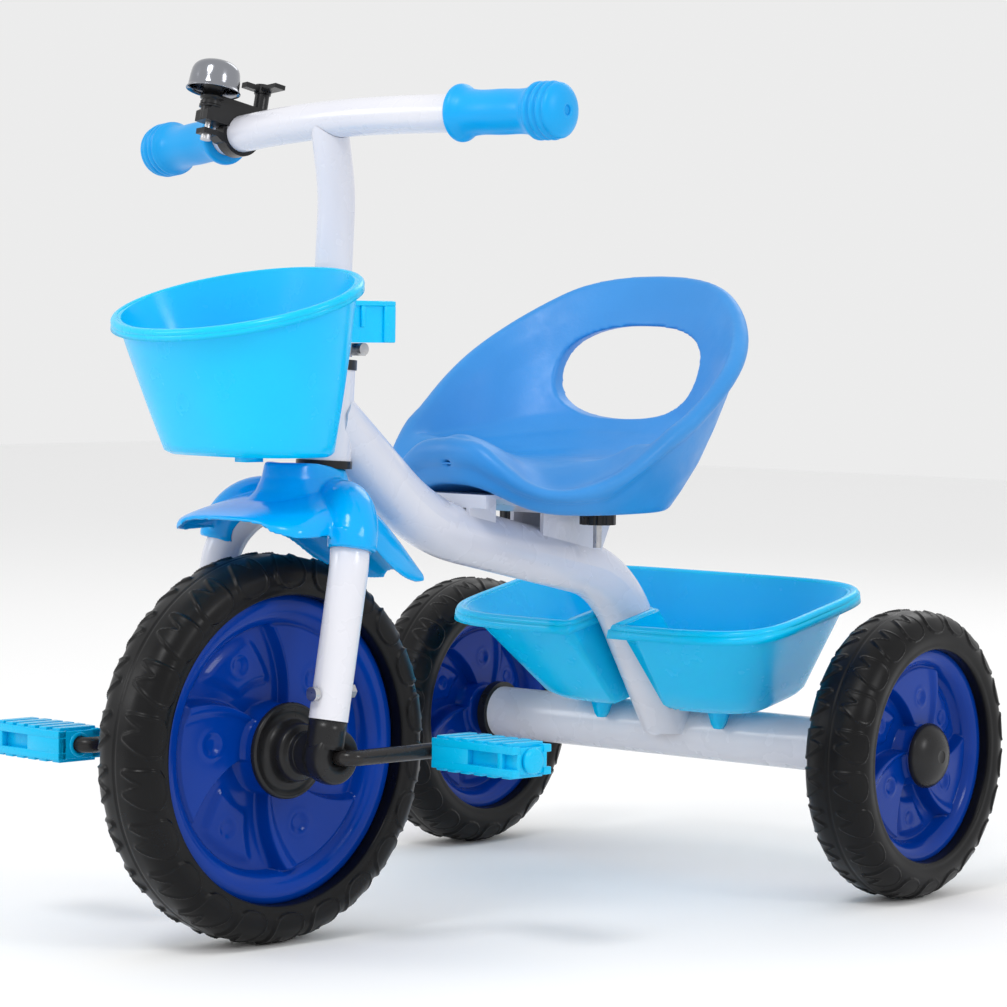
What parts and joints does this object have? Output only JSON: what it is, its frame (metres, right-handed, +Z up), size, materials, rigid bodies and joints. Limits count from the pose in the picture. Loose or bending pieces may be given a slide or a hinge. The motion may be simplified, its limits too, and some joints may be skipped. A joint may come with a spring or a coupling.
{
  "type": "children's tricycle",
  "caption": "Small child's pedal tricycle: steered front wheel with direct cranks, bucket seat, handlebar with bell, baskets in front and behind, solid moulded tyres.",
  "frame": {"origin": "on the floor, under the middle of the tricycle's bounding box", "axes": "+Z up, the front wheel points towards -Y, +X is the rider's left; at rest the fork is turned 6.2 degrees to the rider's right"},
  "size_m": [0.446, 0.6637, 0.5624],
  "materials": {
    "white_enamel": "gloss",
    "tyre_black": "satin",
    "rim_blue": "gloss",
    "basket_cyan": "gloss",
    "mudguard_blue": "gloss",
    "seat_blue": "satin",
    "grip_blue": "satin",
    "pedal_cyan": "gloss",
    "black_plastic": "satin",
    "chrome": "polished",
    "zinc_steel": "satin",
    "black_steel": "gloss"
  },
  "bodies": {
    "frame": {"main_beam": "white_enamel", "head_tube": "white_enamel", "rear_axle_tube": "white_enamel", "rear_axle_rod": "zinc_steel", "axle_push_nuts": "zinc_steel", "axle_bush_left": "black_plastic", "axle_bush_right": "black_plastic", "headset_lower": "black_plastic", "headset_upper": "black_plastic", "seat_bracket_front": "white_enamel", "seat_bracket_rear": "white_enamel", "seat": "seat_blue", "seat_studs": "zinc_steel", "seat_knob_left": "black_plastic", "seat_knob_right": "black_plastic", "rear_basket": "basket_cyan", "rear_basket_screws": "zinc_steel"},
    "steering": {"steerer_tube": "zinc_steel", "fork_leg_left": "white_enamel", "fork_leg_right": "white_enamel", "bearing_block_left": "black_plastic", "bearing_block_right": "black_plastic", "fork_bolts": "zinc_steel", "fork_nuts": "zinc_steel", "handlebar_stem": "white_enamel", "stem_clamp": "chrome", "stem_clamp_bolt": "zinc_steel", "handlebar": "white_enamel", "grip_left": "grip_blue", "grip_right": "grip_blue", "front_basket": "basket_cyan", "basket_clip": "basket_cyan", "basket_screws": "zinc_steel", "mudguard": "mudguard_blue", "bell_base": "black_plastic", "bell_strap": "black_plastic", "bell_bolt": "zinc_steel", "bell_dome": "chrome", "bell_dome_screw": "zinc_steel"},
    "bell_lever": {"bell_lever": "black_plastic"},
    "front_wheel": {"front_tyre": "tyre_black", "front_rim_left": "rim_blue", "front_rim_right": "rim_blue", "hub_flange_left": "black_plastic", "hub_flange_right": "black_plastic", "crank_axle": "black_steel"},
    "pedal_left": {"pedal_left": "pedal_cyan", "pedal_cap_left": "pedal_cyan"},
    "pedal_right": {"pedal_right": "pedal_cyan", "pedal_cap_right": "pedal_cyan"},
    "rear_wheel_left": {"rear_tyre_left": "tyre_black", "rear_rim_outer_left": "rim_blue", "rear_rim_inner_left": "rim_blue", "hub_cap_left": "black_plastic"},
    "rear_wheel_right": {"rear_tyre_right": "tyre_black", "rear_rim_outer_right": "rim_blue", "rear_rim_inner_right": "rim_blue", "hub_cap_right": "black_plastic"}
  },
  "joints": [
    {"name": "steering", "type": "hinge", "parent": "frame", "child": "steering", "pos_m": [0, -0.1607, 0.3015], "axis": [0, 0.0523, 0.9986], "range_deg": [-38.8, 51.2]},
    {"name": "bell_lever", "type": "hinge", "parent": "steering", "child": "bell_lever", "pos_m": [-0.09337, -0.12057, 0.54306], "axis": [-0.0362, 0.2411, 0.9698], "range_deg": [0, 22], "stiffness_Nm_per_rad": 0.02, "springref_deg": -11.46},
    {"name": "front_wheel_spin", "type": "hinge", "parent": "steering", "child": "front_wheel", "pos_m": [-0.00418, -0.20857, 0.12339], "axis": [0.9942, -0.1079, 0.0057], "continuous": true},
    {"name": "pedal_left_spin", "type": "hinge", "parent": "front_wheel", "child": "pedal_left", "pos_m": [0.12573, -0.1422, 0.1241], "axis": [0.9942, -0.1079, 0.0057], "continuous": true},
    {"name": "pedal_right_spin", "type": "hinge", "parent": "front_wheel", "child": "pedal_right", "pos_m": [-0.1341, -0.27495, 0.12267], "axis": [0.9942, -0.1079, 0.0057], "continuous": true},
    {"name": "rear_wheel_left_spin", "type": "hinge", "parent": "frame", "child": "rear_wheel_left", "pos_m": [0.194, 0.2318, 0.1], "axis": [1, 0, 0], "continuous": true},
    {"name": "rear_wheel_right_spin", "type": "hinge", "parent": "frame", "child": "rear_wheel_right", "pos_m": [-0.194, 0.2318, 0.1], "axis": [1, 0, 0], "continuous": true}
  ]
}
